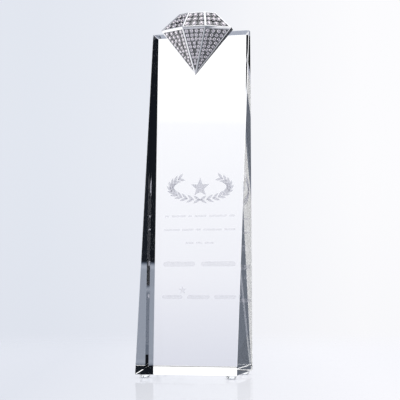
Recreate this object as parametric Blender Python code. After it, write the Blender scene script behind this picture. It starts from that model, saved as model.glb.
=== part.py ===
"""Crystal award: a solid wedge of optical crystal on four clear feet, with a cast gem emblem.

Units are metres and +Z is up. The origin is on the surface that the award stands on, below the
middle of the block. The front of the award looks along -Y, and its back face is upright.
"""

import math

import bmesh
import bpy
from mathutils import Matrix, Vector

MM = 0.001

# The crystal block
BLOCK_WIDTH = 76.2 * MM
BLOCK_HEIGHT = 258.0 * MM
BLOCK_DEPTH_BOTTOM = 55.7 * MM
BLOCK_DEPTH_TOP = 7.12 * MM
BACK_BEVEL = 3.2 * MM
POLISHED_EDGE = 0.35 * MM
POLISHED_EDGE_ANGLE = math.radians(60)

# The four feet, each held by a disc of adhesive film
FOOT_LIFT = 2.83 * MM
FOOT_RADIUS = 3.8 * MM
FOOT_FLAT_RADIUS = 2.3 * MM
FOOT_INSET_SIDE = 5.6 * MM
FOOT_INSET_FRONT = 6.6 * MM
FOOT_INSET_REAR = 6.6 * MM
FOOT_DOME_STEPS = 6
FOOT_SEGMENTS = 32
FILM_THICKNESS = 0.2 * MM
FILM_RADIUS = 3.6 * MM
FIT_GAP = 0.1 * MM

# The gem emblem, in the plane of the sloping front face: u runs right, v runs up the slope
# from the middle of the block's top front edge, and w runs out of the face.
EMBLEM_OFFSET = -2.2 * MM
BOND_THICKNESS = 0.5 * MM
BOND_MARGIN = 1.6 * MM
GIRDLE_V = 0.6 * MM
GIRDLE_HALF_WIDTH = 27.9 * MM
GIRDLE_FRONT_HALF_WIDTH = 9.2 * MM
GIRDLE_SIDE_W = 6.0 * MM
GIRDLE_FRONT_W = 12.4 * MM
TABLE_V = 14.3 * MM
TABLE_HALF_WIDTH = 14.4 * MM
TABLE_FRONT_HALF_WIDTH = 6.3 * MM
TABLE_FRONT_W = 6.7 * MM
CULET_V = -34.6 * MM
CULET_THICKNESS = 1.0 * MM
CROWN_RIB = 0.85 * MM
PAVILION_RIB = 0.7 * MM
GIRDLE_BAND_SHARE = 0.034
TRAY_DEPTH = 0.9 * MM
TRAY_DRAFT = 0.12 * MM

# The stones: flat-backed and round, in rows that shrink away from the girdle. Those of the crown
# are loose in their trays, and those of each pavilion facet share one bed of setting resin.
CROWN_STONE = 3.6 * MM
PAVILION_STONE = 2.75 * MM
STONE_HEIGHT_SHARE = 0.4
STONE_TABLE_SHARE = 0.55
STONE_GIRDLE_SHARE = 0.25
STONE_SIDES = 8
STONE_WALL_GAP = 0.12 * MM
BED_THICKNESS = 0.2 * MM
CROWN_ROWS_CENTRE = (3, 3, 3)
CROWN_ROWS_SIDE = (3, 3, 2)
CROWN_FIRST_ROW = 0.2
CROWN_ROW_PITCH = 0.315
CROWN_SHRINK = 0.93
PAVILION_SPACING = 1.16
PAVILION_TAPER = 0.35
PAVILION_SMALLEST = 1.1 * MM

BACK_Y = BLOCK_DEPTH_BOTTOM / 2
BLOCK_TOP = FOOT_LIFT + BLOCK_HEIGHT
EMBLEM_BACK_W = BOND_THICKNESS + 2 * FIT_GAP


def clear_scene():
    """Remove every object that the file starts with."""
    for item in list(bpy.data.objects):
        bpy.data.objects.remove(item, do_unlink=True)


def plain_material(name, colour, roughness, metallic=0.0, transmission=0.0, ior=1.5):
    """A Principled material with one colour."""
    material = bpy.data.materials.new(name)
    material.use_nodes = True
    shader = material.node_tree.nodes["Principled BSDF"]
    shader.inputs["Base Color"].default_value = (*colour, 1.0)
    shader.inputs["Roughness"].default_value = roughness
    shader.inputs["Metallic"].default_value = metallic
    shader.inputs["Transmission Weight"].default_value = transmission
    shader.inputs["IOR"].default_value = ior
    return material


def crystal_material():
    """Clear, colourless optical crystal."""
    return plain_material("optical_crystal", (0.96, 0.97, 0.98), 0.02, transmission=1.0, ior=1.52)


def casting_material():
    """Bright silver-plated casting metal."""
    return plain_material("silver_plate", (0.74, 0.74, 0.76), 0.28, metallic=1.0)


def stone_material():
    """Clear cut glass."""
    return plain_material("cut_glass", (0.93, 0.93, 0.96), 0.03, transmission=0.6, ior=1.55)


def foot_material():
    """Clear soft polyurethane."""
    return plain_material("clear_polyurethane", (0.88, 0.9, 0.92), 0.2, transmission=0.8, ior=1.48)


def film_material():
    """Clear acrylic adhesive."""
    return plain_material("clear_adhesive", (0.9, 0.9, 0.9), 0.3, transmission=0.7, ior=1.47)


def finished_object(name, bm, material, place=None, smooth_angle=None):
    """Make the named object that holds a bmesh, with its normals facing out."""
    bmesh.ops.recalc_face_normals(bm, faces=bm.faces[:])
    mesh = bpy.data.meshes.new(name)
    bm.to_mesh(mesh)
    bm.free()
    if smooth_angle is not None:
        mesh.shade_smooth()
        mesh.set_sharp_from_angle(angle=smooth_angle)
    mesh.materials.append(material)
    piece = bpy.data.objects.new(name, mesh)
    if place is not None:
        piece.matrix_world = place
    bpy.context.scene.collection.objects.link(piece)
    return piece


def prism(bm, outline, direction):
    """Extrude a closed outline along a direction, capped at both ends."""
    cap = bm.faces.new([bm.verts.new(point) for point in outline])
    grown = bmesh.ops.extrude_face_region(bm, geom=[cap])["geom"]
    moved = [item for item in grown if isinstance(item, bmesh.types.BMVert)]
    bmesh.ops.translate(bm, verts=moved, vec=direction)


def front_slope():
    """The lean of the front face away from the upright."""
    return math.atan2(BLOCK_DEPTH_BOTTOM - BLOCK_DEPTH_TOP, BLOCK_HEIGHT)


def emblem_frame():
    """The matrix that takes (u, v, w) on the front face to world axes."""
    slope = front_slope()
    right = Vector((1, 0, 0))
    up_slope = Vector((0, math.sin(slope), math.cos(slope)))
    outward = Vector((0, -math.cos(slope), math.sin(slope)))
    corner = Vector((EMBLEM_OFFSET, BACK_Y - BLOCK_DEPTH_TOP, BLOCK_TOP))
    turn = Matrix((right, up_slope, outward)).transposed()
    return Matrix.Translation(corner) @ turn.to_4x4()


def make_block(material):
    """The wedge, with a wide bevel round three sides of its back and fine polished edges."""
    bm = bmesh.new()
    half = BLOCK_WIDTH / 2
    side = (
        (-half, BACK_Y, FOOT_LIFT),
        (-half, BACK_Y - BLOCK_DEPTH_BOTTOM, FOOT_LIFT),
        (-half, BACK_Y - BLOCK_DEPTH_TOP, BLOCK_TOP),
        (-half, BACK_Y, BLOCK_TOP),
    )
    prism(bm, side, Vector((BLOCK_WIDTH, 0, 0)))
    bmesh.ops.recalc_face_normals(bm, faces=bm.faces[:])
    framed = [edge for edge in bm.edges if is_back_frame_edge(edge)]
    bmesh.ops.bevel(bm, geom=framed, offset=BACK_BEVEL, segments=1, affect="EDGES")
    sharp = [edge for edge in bm.edges if edge.calc_face_angle() > POLISHED_EDGE_ANGLE]
    bmesh.ops.bevel(bm, geom=sharp, offset=POLISHED_EDGE, segments=1, affect="EDGES")
    return finished_object("crystal_block", bm, material)


def is_back_frame_edge(edge):
    """Whether an edge borders the back face at its left, right or top."""
    at_back = all(abs(vert.co.y - BACK_Y) < FIT_GAP for vert in edge.verts)
    at_bottom = all(vert.co.z < FOOT_LIFT + FIT_GAP for vert in edge.verts)
    return at_back and not at_bottom


def foot_profile():
    """Radius and height of the dome, from the flat that stands on the table to the film."""
    top = FOOT_LIFT - FILM_THICKNESS - 2 * FIT_GAP
    points = [Vector((0, 0, 0)), Vector((FOOT_FLAT_RADIUS, 0, 0))]
    for step in range(1, FOOT_DOME_STEPS + 1):
        angle = math.pi / 2 * step / FOOT_DOME_STEPS
        radius = FOOT_FLAT_RADIUS + (FOOT_RADIUS - FOOT_FLAT_RADIUS) * math.sin(angle)
        points.append(Vector((radius, 0, top * (1 - math.cos(angle)))))
    points.append(Vector((0, 0, top)))
    return points


def turned(bm, profile, segments):
    """Spin a profile that starts and ends on the Z axis into a closed solid."""
    verts = [bm.verts.new(point) for point in profile]
    edges = [bm.edges.new(pair) for pair in zip(verts, verts[1:])]
    bmesh.ops.spin(
        bm,
        geom=verts + edges,
        cent=(0, 0, 0),
        axis=(0, 0, 1),
        angle=math.tau,
        steps=segments,
        use_merge=True,
    )
    bmesh.ops.remove_doubles(bm, verts=bm.verts[:], dist=0.001 * MM)


def foot_places():
    """Name and centre of each foot."""
    side = BLOCK_WIDTH / 2 - FOOT_INSET_SIDE
    front = BACK_Y - BLOCK_DEPTH_BOTTOM + FOOT_INSET_FRONT
    rear = BACK_Y - FOOT_INSET_REAR
    return {
        "front_left": (-side, front),
        "front_right": (side, front),
        "rear_left": (-side, rear),
        "rear_right": (side, rear),
    }


def make_feet(rubber, film):
    """Four domed feet, and the film disc that holds each one to the block."""
    film_base = FOOT_LIFT - FIT_GAP - FILM_THICKNESS
    disc = [Vector((0, 0, 0)), Vector((FILM_RADIUS, 0, 0))]
    disc += [Vector((FILM_RADIUS, 0, FILM_THICKNESS)), Vector((0, 0, FILM_THICKNESS))]
    for name, (x, y) in foot_places().items():
        dome = bmesh.new()
        turned(dome, foot_profile(), FOOT_SEGMENTS)
        place = Matrix.Translation((x, y, 0))
        finished_object("foot_" + name, dome, rubber, place, math.radians(35))
        pad = bmesh.new()
        turned(pad, disc, FOOT_SEGMENTS)
        place = Matrix.Translation((x, y, film_base))
        finished_object("foot_film_" + name, pad, film, place, math.radians(35))


def table_side_w():
    """How far the table's outer corners stand out, so that the side facets are flat."""
    rise = (GIRDLE_FRONT_W - GIRDLE_SIDE_W) / (GIRDLE_HALF_WIDTH - GIRDLE_FRONT_HALF_WIDTH)
    return TABLE_FRONT_W - rise * (TABLE_HALF_WIDTH - TABLE_FRONT_HALF_WIDTH)


def facet_corners():
    """The six stone-set facets of the gem, each from its edge near the girdle, counter-clockwise."""
    girdle_left = Vector((-GIRDLE_HALF_WIDTH, GIRDLE_V, GIRDLE_SIDE_W))
    girdle_inner_left = Vector((-GIRDLE_FRONT_HALF_WIDTH, GIRDLE_V, GIRDLE_FRONT_W))
    girdle_inner_right = Vector((GIRDLE_FRONT_HALF_WIDTH, GIRDLE_V, GIRDLE_FRONT_W))
    girdle_right = Vector((GIRDLE_HALF_WIDTH, GIRDLE_V, GIRDLE_SIDE_W))
    table_left = Vector((-TABLE_HALF_WIDTH, TABLE_V, table_side_w()))
    table_inner_left = Vector((-TABLE_FRONT_HALF_WIDTH, TABLE_V, TABLE_FRONT_W))
    table_inner_right = Vector((TABLE_FRONT_HALF_WIDTH, TABLE_V, TABLE_FRONT_W))
    table_right = Vector((TABLE_HALF_WIDTH, TABLE_V, table_side_w()))
    culet = Vector((0, CULET_V, EMBLEM_BACK_W + CULET_THICKNESS))
    low_left = girdle_left.lerp(culet, GIRDLE_BAND_SHARE)
    low_inner_left = girdle_inner_left.lerp(culet, GIRDLE_BAND_SHARE)
    low_inner_right = girdle_inner_right.lerp(culet, GIRDLE_BAND_SHARE)
    low_right = girdle_right.lerp(culet, GIRDLE_BAND_SHARE)
    return {
        "crown_left": (girdle_left, girdle_inner_left, table_inner_left, table_left),
        "crown_centre": (girdle_inner_left, girdle_inner_right, table_inner_right, table_inner_left),
        "crown_right": (girdle_inner_right, girdle_right, table_right, table_inner_right),
        "pavilion_left": (low_inner_left, low_left, culet),
        "pavilion_centre": (low_inner_right, low_inner_left, culet),
        "pavilion_right": (low_right, low_inner_right, culet),
    }


def make_casting(material):
    """The gem casting: flat back, six facets recessed into trays between ribs, a girdle band."""
    bm = bmesh.new()
    facets = facet_corners()
    front = {}

    def vert(point):
        key = tuple(round(value / FIT_GAP, 2) for value in point)
        if key not in front:
            front[key] = bm.verts.new(point)
        return front[key]

    trays = [bm.faces.new([vert(point) for point in corners]) for corners in facets.values()]
    for side in ("left", "centre", "right"):
        above, below = facets["crown_" + side], facets["pavilion_" + side]
        bm.faces.new([vert(point) for point in (above[1], above[0], below[1], below[0])])
    rim = [edge for edge in bm.edges if edge.is_boundary]
    grown = bmesh.ops.extrude_edge_only(bm, edges=rim)["geom"]
    for item in grown:
        if isinstance(item, bmesh.types.BMVert):
            item.co.z = EMBLEM_BACK_W
    back_rim = [item for item in grown if isinstance(item, bmesh.types.BMEdge) and item.is_boundary]
    bmesh.ops.contextual_create(bm, geom=back_rim)
    bmesh.ops.recalc_face_normals(bm, faces=bm.faces[:])
    for kind, rib in (("crown", CROWN_RIB), ("pavilion", PAVILION_RIB)):
        sunk = [tray for name, tray in zip(facets, trays) if name.startswith(kind)]
        bmesh.ops.inset_individual(bm, faces=sunk, thickness=rib, use_even_offset=True)
        bmesh.ops.inset_individual(
            bm, faces=sunk, thickness=TRAY_DRAFT, depth=-TRAY_DEPTH, use_even_offset=True
        )
    return finished_object("jewel_casting", bm, material, emblem_frame())


def make_bond(material):
    """The layer of adhesive between the casting and the front face."""
    drop = GIRDLE_V - CULET_V
    top = GIRDLE_V - BOND_MARGIN
    slant = math.hypot(GIRDLE_HALF_WIDTH, drop)
    low = CULET_V + BOND_MARGIN * slant / GIRDLE_HALF_WIDTH
    half = (top - low) * GIRDLE_HALF_WIDTH / drop
    outline = ((-half, top, FIT_GAP), (0, low, FIT_GAP), (half, top, FIT_GAP))
    bm = bmesh.new()
    prism(bm, outline, Vector((0, 0, BOND_THICKNESS)))
    return finished_object("jewel_adhesive", bm, material, emblem_frame())


def inner_corner(before, corner, after, margin):
    """The corner of an outline that lies a margin inside another, in its plane."""
    back = (before - corner).normalized()
    ahead = (after - corner).normalized()
    return corner + (back + ahead) * margin / back.cross(ahead).length


def tray_floor(corners, rib):
    """The corners and outward normal of the floor of one facet's tray."""
    normal = (corners[1] - corners[0]).cross(corners[2] - corners[0]).normalized()
    count = len(corners)
    margin = rib + TRAY_DRAFT
    floor = []
    for index, corner in enumerate(corners):
        before = corners[index - 1]
        after = corners[(index + 1) % count]
        floor.append(inner_corner(before, corner, after, margin) - normal * TRAY_DEPTH)
    return floor, normal


def row_ends(corners, share, reach):
    """Where the outermost stones of a row sit, a reach in from both sides of the facet."""
    near_left, near_right = corners[0], corners[1]
    far_right, far_left = corners[2], corners[-1]
    left = near_left.lerp(far_left, share)
    right = near_right.lerp(far_right, share)
    along = (right - left).normalized()
    left_slant = (far_left - near_left).normalized().cross(along).length
    right_slant = (far_right - near_right).normalized().cross(along).length
    return left + along * reach / left_slant, right - along * reach / right_slant


def stone_rows(corners, rows, diameter, first, pitch, shrink):
    """Centre and diameter of each stone in a crown facet, in rows from the girdle."""
    normal = tray_floor(corners, CROWN_RIB)[1]
    share = first
    placed = []
    for count in rows:
        reach = CROWN_RIB + TRAY_DRAFT + STONE_WALL_GAP + diameter / 2
        start, end = row_ends(corners, share, reach)
        spread = [index / (count - 1) for index in range(count)] if count > 1 else [0.5]
        centres = [start.lerp(end, part) - normal * (TRAY_DEPTH - FIT_GAP) for part in spread]
        placed.append([(centre, diameter) for centre in centres])
        share += pitch
        pitch *= shrink
        diameter *= shrink
    return placed


def filled_rows(corners):
    """Centre and diameter of each stone in a pavilion facet, in rows that fill it."""
    normal = tray_floor(corners, PAVILION_RIB)[1]
    near_left, near_right, tip = corners
    along = (near_right - near_left).normalized()
    height = (tip - near_left).cross(along).length
    edge = PAVILION_RIB + TRAY_DRAFT + STONE_WALL_GAP
    diameter = PAVILION_STONE
    depth = edge + diameter / 2
    placed = []
    while diameter > PAVILION_SMALLEST:
        start, end = row_ends(corners, depth / height, edge + diameter / 2)
        room = (end - start).dot(along)
        if room < 0:
            diameter *= 0.9
            continue
        count = int(room / (diameter * PAVILION_SPACING)) + 1
        spread = [index / (count - 1) for index in range(count)] if count > 1 else [0.5]
        centres = [start.lerp(end, part) - normal * (TRAY_DEPTH - FIT_GAP) for part in spread]
        placed.append([(centre, diameter) for centre in centres])
        depth += diameter * PAVILION_SPACING
        diameter = PAVILION_STONE * (1 - PAVILION_TAPER * depth / height)
    return placed


def add_stone(bm, centre, normal, diameter, foot=0.0):
    """One flat-backed stone: a low band, then facets up to a flat table."""
    height = diameter * STONE_HEIGHT_SHARE
    band = height * STONE_GIRDLE_SHARE + foot
    turn = normal.to_track_quat("Z", "Y").to_matrix()
    rings = []
    for lift, share in ((foot, 1.0), (band, 1.0), (height, STONE_TABLE_SHARE)):
        ring = []
        for side in range(STONE_SIDES):
            angle = math.tau * (side + 0.5) / STONE_SIDES
            radius = diameter / 2 * share
            local = Vector((radius * math.cos(angle), radius * math.sin(angle), lift))
            ring.append(bm.verts.new(centre + turn @ local))
        rings.append(ring)
    bm.faces.new(reversed(rings[0]))
    bm.faces.new(rings[-1])
    for lower, upper in zip(rings, rings[1:]):
        for side in range(STONE_SIDES):
            ahead = (side + 1) % STONE_SIDES
            bm.faces.new((lower[side], lower[ahead], upper[ahead], upper[side]))


def make_crown_stones(material):
    """The crown's stones, each one a solid of its own."""
    for facet, corners in facet_corners().items():
        if not facet.startswith("crown"):
            continue
        counts = CROWN_ROWS_CENTRE if facet.endswith("centre") else CROWN_ROWS_SIDE
        spacing = (CROWN_STONE, CROWN_FIRST_ROW, CROWN_ROW_PITCH, CROWN_SHRINK)
        rows = stone_rows(corners, counts, *spacing)
        normal = tray_floor(corners, CROWN_RIB)[1]
        for number, row in enumerate(rows, 1):
            for index, (centre, diameter) in enumerate(row, 1):
                bm = bmesh.new()
                add_stone(bm, centre, normal, diameter)
                name = f"stone_{facet}_{number}_{index}"
                finished_object(name, bm, material, emblem_frame())


def make_pavilion_stones(material):
    """The pavilion's stones, those of each facet joined by their bed of resin."""
    for facet, corners in facet_corners().items():
        if not facet.startswith("pavilion"):
            continue
        floor, normal = tray_floor(corners, PAVILION_RIB)
        stones = bmesh.new()
        for row in filled_rows(corners):
            for centre, diameter in row:
                add_stone(stones, centre, normal, diameter, BED_THICKNESS / 2)
        joined = finished_object("joined_" + facet, stones, material, emblem_frame())
        joined.hide_render = True
        joined.display_type = "WIRE"
        bed = bmesh.new()
        outline = []
        for index, corner in enumerate(floor):
            after = floor[(index + 1) % len(floor)]
            inside = inner_corner(floor[index - 1], corner, after, STONE_WALL_GAP / 2)
            outline.append(inside + normal * FIT_GAP)
        prism(bed, outline, normal * BED_THICKNESS)
        piece = finished_object("stones_" + facet, bed, material, emblem_frame())
        union = piece.modifiers.new("join_stones", "BOOLEAN")
        union.operation = "UNION"
        union.solver = "EXACT"
        union.object = joined


def main():
    clear_scene()
    make_block(crystal_material())
    film = film_material()
    make_feet(foot_material(), film)
    make_casting(casting_material())
    make_bond(film)
    glass = stone_material()
    make_crown_stones(glass)
    make_pavilion_stones(glass)


if __name__ == "__main__":
    main()
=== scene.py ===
"""Looks of the crystal award: the clear wedge, its stone-set gem casting, feet and studio."""

import math

import bpy
from mathutils import Matrix, Vector


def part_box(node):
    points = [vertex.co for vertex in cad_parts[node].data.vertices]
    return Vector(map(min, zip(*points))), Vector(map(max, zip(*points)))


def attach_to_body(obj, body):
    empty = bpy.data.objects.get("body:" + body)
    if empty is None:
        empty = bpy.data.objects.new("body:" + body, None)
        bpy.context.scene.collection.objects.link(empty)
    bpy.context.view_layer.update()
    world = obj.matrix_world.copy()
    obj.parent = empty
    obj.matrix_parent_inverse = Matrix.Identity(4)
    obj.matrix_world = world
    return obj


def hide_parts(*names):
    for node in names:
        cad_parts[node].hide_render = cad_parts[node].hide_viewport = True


bl_info = {
    "name": "Crystal Award",
    "version": (1, 0, 0),
    "blender": (4, 5, 0),
    "location": "View3D > Sidebar > Award",
    "description": "Builds the visible pieces of a crystal award around its packed model",
    "category": "Object",
}

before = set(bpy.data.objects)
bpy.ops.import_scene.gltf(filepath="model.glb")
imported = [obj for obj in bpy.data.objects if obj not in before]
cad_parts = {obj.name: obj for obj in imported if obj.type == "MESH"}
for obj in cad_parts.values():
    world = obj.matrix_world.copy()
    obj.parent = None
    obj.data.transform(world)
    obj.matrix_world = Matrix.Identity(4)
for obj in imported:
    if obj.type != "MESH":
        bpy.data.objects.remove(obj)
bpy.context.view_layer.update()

MM = 0.001
BLOCK_LOW, BLOCK_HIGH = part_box("crystal_block")
CASTING_LOW, CASTING_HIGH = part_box("jewel_casting")
FOOT_NAMES = ("front_left", "front_right", "rear_left", "rear_right")
FACETS = (
    "crown_left",
    "crown_centre",
    "crown_right",
    "pavilion_left",
    "pavilion_centre",
    "pavilion_right",
)
GIRDLE_BAND_SHARE = 0.034

# How the stones are spaced, as shares of a facet's depth or of the stone before
CROWN_FIRST_ROW = 0.2
CROWN_PITCH = 0.315
CROWN_SHRINK = 0.93
PAVILION_SPACING = 1.16
PAVILION_TAPER = 0.35
PAVILION_SMALLEST = 1.1 * MM

# Where the camera stands, in metres, how it is turned, in radians, its lens in millimetres,
# and half the width over which the backdrop and floor change from left to right
CAMERA_PLACE = (0.24935, -0.94431, 0.07938)
CAMERA_HEADING = 0.2539
CAMERA_TILT = 0.0527
CAMERA_ROLL = -0.0044
CAMERA_LENS = 117.69
VIEW_HALF_WIDTH = 0.12

# Light: the brightness where the cool tint's ramp ends, and the share of the tint that a
# mirrored ray loses
TINT_RANGE = 1.3
MIRROR_NEUTRAL = 0.3


# ---------------------------------------------------------------- sizes and colours


class AwardEmblemSizes(bpy.types.PropertyGroup):
    girdle_height: bpy.props.FloatProperty(
        name="Girdle Height",
        description="Height of the widest line above the block's top front edge",
        default=0.6 * MM,
        unit="LENGTH",
    )
    girdle_inner: bpy.props.FloatProperty(
        name="Girdle Inner Half Width",
        description="Half the width of the middle facets at the widest line",
        default=9.2 * MM,
        unit="LENGTH",
    )
    girdle_side_out: bpy.props.FloatProperty(
        name="Girdle Side Depth",
        description="How far the outer corners stand out of the face",
        default=6.0 * MM,
        unit="LENGTH",
    )
    girdle_front_out: bpy.props.FloatProperty(
        name="Girdle Front Depth",
        description="How far the inner corners stand out of the face",
        default=12.4 * MM,
        unit="LENGTH",
    )
    table_height: bpy.props.FloatProperty(
        name="Table Height",
        description="Height of the flat top above the block's top front edge",
        default=14.3 * MM,
        unit="LENGTH",
    )
    table_half: bpy.props.FloatProperty(
        name="Table Half Width",
        description="Half the width of the flat top",
        default=14.4 * MM,
        unit="LENGTH",
    )
    table_inner: bpy.props.FloatProperty(
        name="Table Inner Half Width",
        description="Half the width of the middle crown facet at the flat top",
        default=6.3 * MM,
        unit="LENGTH",
    )
    table_front_out: bpy.props.FloatProperty(
        name="Table Front Depth",
        description="How far the flat top stands out of the face",
        default=6.7 * MM,
        unit="LENGTH",
    )
    culet_drop: bpy.props.FloatProperty(
        name="Culet Drop",
        description="Distance of the point below the block's top front edge",
        default=34.6 * MM,
        unit="LENGTH",
    )
    culet_out: bpy.props.FloatProperty(
        name="Culet Depth",
        description="How far the point stands out of the face",
        default=1.7 * MM,
        unit="LENGTH",
    )
    crown_rib: bpy.props.FloatProperty(
        name="Crown Rib",
        description="Width of the polished rib round each crown tray",
        default=0.97 * MM,
        unit="LENGTH",
    )
    pavilion_rib: bpy.props.FloatProperty(
        name="Pavilion Rib",
        description="Width of the polished rib round each pavilion tray",
        default=0.82 * MM,
        unit="LENGTH",
    )
    tray_depth: bpy.props.FloatProperty(
        name="Tray Depth",
        description="Depth of each tray below its ribs",
        default=0.9 * MM,
        unit="LENGTH",
    )
    wall_gap: bpy.props.FloatProperty(
        name="Wall Gap",
        description="Least gap between a stone and the tray's wall",
        default=0.12 * MM,
        unit="LENGTH",
    )
    crown_stone: bpy.props.FloatProperty(
        name="Crown Stone",
        description="Diameter of the largest stones in the crown",
        default=3.6 * MM,
        unit="LENGTH",
    )
    pavilion_stone: bpy.props.FloatProperty(
        name="Pavilion Stone",
        description="Diameter of the largest stones in the pavilion",
        default=2.75 * MM,
        unit="LENGTH",
    )


class AwardColours(bpy.types.PropertyGroup):
    crystal: bpy.props.FloatVectorProperty(
        name="Crystal",
        description="Tint of the crystal block",
        default=(0.985, 0.99, 1.0),
        size=3,
        subtype="COLOR",
    )
    metal: bpy.props.FloatVectorProperty(
        name="Metal",
        description="Colour of the plated casting",
        default=(0.86, 0.86, 0.88),
        size=3,
        subtype="COLOR",
    )
    stone: bpy.props.FloatVectorProperty(
        name="Stone",
        description="Tint of the cut stones",
        default=(0.99, 0.945, 0.985),
        size=3,
        subtype="COLOR",
    )
    frost: bpy.props.FloatVectorProperty(
        name="Frosting",
        description="Colour of the etched design",
        default=(0.62, 0.62, 0.68),
        size=3,
        subtype="COLOR",
    )
    # painted shade: the floor's colour on the left is darker and cooler, for the light's falloff
    floor_painted_shade_left: bpy.props.FloatVectorProperty(
        name="Floor Left",
        description="Colour of the studio floor on the left",
        default=(0.606, 0.63, 0.69),
        size=3,
        subtype="COLOR",
    )
    # painted light: the floor's colour on the right is paler, for the light's falloff
    floor_painted_light_right: bpy.props.FloatVectorProperty(
        name="Floor Right",
        description="Colour of the studio floor on the right",
        default=(0.78, 0.78, 0.81),
        size=3,
        subtype="COLOR",
    )


# ---------------------------------------------------------------- shader groups


def group_with(name, inputs, output_kind):
    """An empty shader group with float inputs and one output."""
    group = bpy.data.node_groups.new(name, "ShaderNodeTree")
    for label, value in inputs:
        socket = group.interface.new_socket(label, in_out="INPUT", socket_type="NodeSocketFloat")
        socket.default_value = value
    group.interface.new_socket("Result", in_out="OUTPUT", socket_type=output_kind)
    start = group.nodes.new("NodeGroupInput")
    end = group.nodes.new("NodeGroupOutput")
    return group, start, end


def add_node(tree, kind, values=None, **options):
    """Add a shader node, set its options, then the values of its sockets."""
    node = tree.nodes.new("ShaderNode" + kind)
    for option, value in options.items():
        setattr(node, option, value)
    for socket, value in (values or {}).items():
        node.inputs[socket].default_value = value
    return node


def uneven_value_group():
    """A value that drifts between a low and a high one over the surface."""
    inputs = (("Scale", 60.0), ("Low", 0.1), ("High", 0.2))
    group, start, end = group_with("uneven_value", inputs, "NodeSocketFloat")
    place = add_node(group, "TexCoord")
    noise = add_node(group, "TexNoise", {"Detail": 5.0, "Roughness": 0.6})
    spread = add_node(group, "MapRange", {"From Min": 0.35, "From Max": 0.65})
    link = group.links.new
    link(place.outputs["Object"], noise.inputs["Vector"])
    link(start.outputs["Scale"], noise.inputs["Scale"])
    link(noise.outputs["Fac"], spread.inputs["Value"])
    link(start.outputs["Low"], spread.inputs["To Min"])
    link(start.outputs["High"], spread.inputs["To Max"])
    link(spread.outputs["Result"], end.inputs["Result"])
    return group


def soft_relief_group():
    """A normal with a fine, even relief."""
    inputs = (("Scale", 900.0), ("Strength", 0.1), ("Depth", 0.00002))
    group, start, end = group_with("soft_relief", inputs, "NodeSocketVector")
    place = add_node(group, "TexCoord")
    noise = add_node(group, "TexNoise", {"Detail": 3.0})
    bump = add_node(group, "Bump")
    link = group.links.new
    link(place.outputs["Object"], noise.inputs["Vector"])
    link(start.outputs["Scale"], noise.inputs["Scale"])
    link(noise.outputs["Fac"], bump.inputs["Height"])
    link(start.outputs["Strength"], bump.inputs["Strength"])
    link(start.outputs["Depth"], bump.inputs["Distance"])
    link(bump.outputs["Normal"], end.inputs["Result"])
    return group


def shared_group(name, make):
    """The named shader group, made the first time that it is asked for."""
    return bpy.data.node_groups.get(name) or make()


# ---------------------------------------------------------------- materials

# Short names for the shader's sockets whose own names have spaces
SOCKETS = {"Clear": "Transmission Weight", "Specular": "Specular IOR Level"}


def new_material(name, **values):
    """A material, its nodes and its shader, with plain values on the shader's own sockets."""
    material = bpy.data.materials.new(name)
    material.use_nodes = True
    shader = material.node_tree.nodes["Principled BSDF"]
    for socket, value in values.items():
        shader.inputs[SOCKETS.get(socket, socket)].default_value = value
    return material, material.node_tree, shader


def put_group(tree, group, target, **values):
    """Place a shader group in a material and feed one socket from it."""
    node = tree.nodes.new("ShaderNodeGroup")
    node.node_tree = group
    for label, value in values.items():
        node.inputs[label].default_value = value
    tree.links.new(node.outputs["Result"], target)


def uneven(tree, target, scale, low, high):
    """Feed a socket with a value that drifts over the surface."""
    group = shared_group("uneven_value", uneven_value_group)
    put_group(tree, group, target, Scale=scale, Low=low, High=high)


def relief(tree, shader, scale, strength, depth):
    """Give a shader a fine relief."""
    group = shared_group("soft_relief", soft_relief_group)
    target = shader.inputs["Normal"]
    put_group(tree, group, target, Scale=scale, Strength=strength, Depth=depth)


def two_tone(tree, target, scale, dark, light):
    """Feed a colour socket with a noise between two colours."""
    place = add_node(tree, "TexCoord")
    noise = add_node(tree, "TexNoise", {"Scale": scale, "Detail": 4.0})
    ramp = add_node(tree, "ValToRGB")
    ramp.color_ramp.elements[0].position = 0.35
    ramp.color_ramp.elements[0].color = (*dark, 1.0)
    ramp.color_ramp.elements[1].position = 0.65
    ramp.color_ramp.elements[1].color = (*light, 1.0)
    tree.links.new(place.outputs["Object"], noise.inputs["Vector"])
    tree.links.new(noise.outputs["Fac"], ramp.inputs["Fac"])
    tree.links.new(ramp.outputs["Color"], target)


def scaled(colour, factor):
    """A colour made darker or lighter."""
    return tuple(part * factor for part in colour)


def crystal_material(colours):
    """Clear polished crystal, with the faintest film of dust."""
    material, tree, shader = new_material("optical_crystal", IOR=1.52, Clear=1.0)
    tint = tuple(colours.crystal)
    two_tone(tree, shader.inputs["Base Color"], 18.0, scaled(tint, 0.995), tint)
    uneven(tree, shader.inputs["Roughness"], 40.0, 0.0, 0.004)
    return material


def frosted_material(name, colour, cover):
    """Sandblasted crystal: pale, matt and finely speckled, letting some light past."""
    material, tree, shader = new_material(name, IOR=1.5)
    two_tone(tree, shader.inputs["Base Color"], 2600.0, scaled(colour, 0.86), colour)
    uneven(tree, shader.inputs["Roughness"], 1500.0, 0.65, 0.9)
    uneven(tree, shader.inputs["Alpha"], 3200.0, cover - 0.12, cover + 0.12)
    return material


def polished_metal_material(colours):
    """Bright plating on the ribs, sides and back, with fine handling marks."""
    material, tree, shader = new_material("polished_plating", Metallic=1.0)
    metal = tuple(colours.metal)
    two_tone(tree, shader.inputs["Base Color"], 700.0, scaled(metal, 0.9), metal)
    uneven(tree, shader.inputs["Roughness"], 900.0, 0.12, 0.26)
    relief(tree, shader, 1400.0, 0.25, 0.00002)
    return material


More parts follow.
